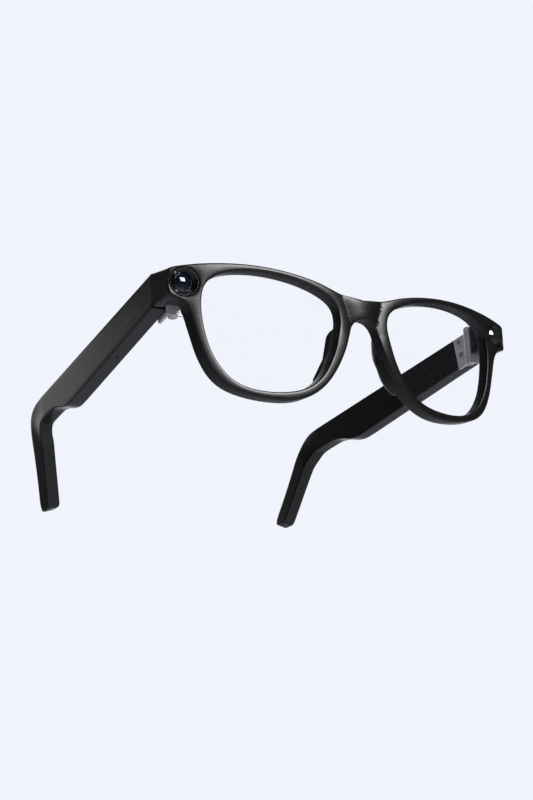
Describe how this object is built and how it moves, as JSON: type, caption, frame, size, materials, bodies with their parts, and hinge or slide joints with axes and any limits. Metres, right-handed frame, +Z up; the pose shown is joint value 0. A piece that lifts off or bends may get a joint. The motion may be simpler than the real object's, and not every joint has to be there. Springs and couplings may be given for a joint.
{
  "type": "smart glasses",
  "caption": "Smart glasses with a camera in the front's upper corner, clear lenses and folding temples that hold battery, boards and speakers.",
  "frame": {"origin": "centre of the open glasses' footprint, on the surface that the rims and the temple tips rest on", "axes": "+X to the wearer's left, +Y from the front to the temple tips, +Z up; the front faces -Y"},
  "size_m": [0.148, 0.1522, 0.0475],
  "materials": {
    "frame_black": "satin",
    "cover_black": "matte",
    "lens_clear": "polished",
    "pad_black": "satin",
    "bezel_black": "gloss",
    "camera_glass": "polished",
    "light_glass": "polished",
    "board_green": "satin",
    "flex_amber": "satin",
    "hinge_steel": "satin",
    "screw_steel": "satin",
    "shield_steel": "satin",
    "cell_foil": "satin",
    "speaker_black": "matte",
    "mesh_steel": "matte",
    "strip_grey": "satin",
    "contact_gold": "polished",
    "magnet_nickel": "polished"
  },
  "bodies": {
    "front": {"front_shell": "frame_black", "rear_cover": "cover_black", "lens_right": "lens_clear", "lens_left": "lens_clear", "nose_pad_right": "pad_black", "nose_pad_left": "pad_black", "camera_bezel": "bezel_black", "camera_window": "camera_glass", "camera_barrel": "bezel_black", "camera_board": "board_green", "light_bezel": "bezel_black", "light_window": "light_glass", "light_board": "board_green", "brow_flex": "flex_amber", "hinge_leaf_front_right": "hinge_steel", "hinge_leaf_front_left": "hinge_steel", "hinge_screw_right": "screw_steel", "hinge_screw_left": "screw_steel", "front_leaf_screws": "screw_steel"},
    "temple_right": {"temple_shell_right": "frame_black", "temple_cover_right": "cover_black", "temple_leaf_right": "hinge_steel", "temple_screws_right": "screw_steel", "main_board": "board_green", "processor_shield": "shield_steel", "radio_module": "shield_steel", "power_board": "board_green", "charge_contacts": "contact_gold", "charge_magnets": "magnet_nickel", "speaker_right": "speaker_black", "speaker_mesh_right": "mesh_steel", "microphone_right": "shield_steel", "touch_strip": "strip_grey", "touch_sensor": "flex_amber", "button_switch": "shield_steel"},
    "temple_left": {"temple_shell_left": "frame_black", "temple_cover_left": "cover_black", "temple_leaf_left": "hinge_steel", "temple_screws_left": "screw_steel", "battery_front": "cell_foil", "battery_rear": "cell_foil", "speaker_left": "speaker_black", "speaker_mesh_left": "mesh_steel", "microphone_left": "shield_steel"},
    "button": {"capture_button": "cover_black"}
  },
  "joints": [
    {"name": "temple_right_fold", "type": "hinge", "parent": "front", "child": "temple_right", "pos_m": [-0.066, -0.05507, 0.04049], "axis": [0, 0.1207, -0.9927], "range_deg": [0, 76]},
    {"name": "temple_left_fold", "type": "hinge", "parent": "front", "child": "temple_left", "pos_m": [0.066, -0.05507, 0.04049], "axis": [0, -0.1207, 0.9927], "range_deg": [0, 90]},
    {"name": "capture_press", "type": "slide", "parent": "temple_right", "child": "button", "axis": [-0.0071, -0.0569, -0.9984], "range_m": [0, 0.00035], "stiffness_N_per_m": 1500}
  ]
}
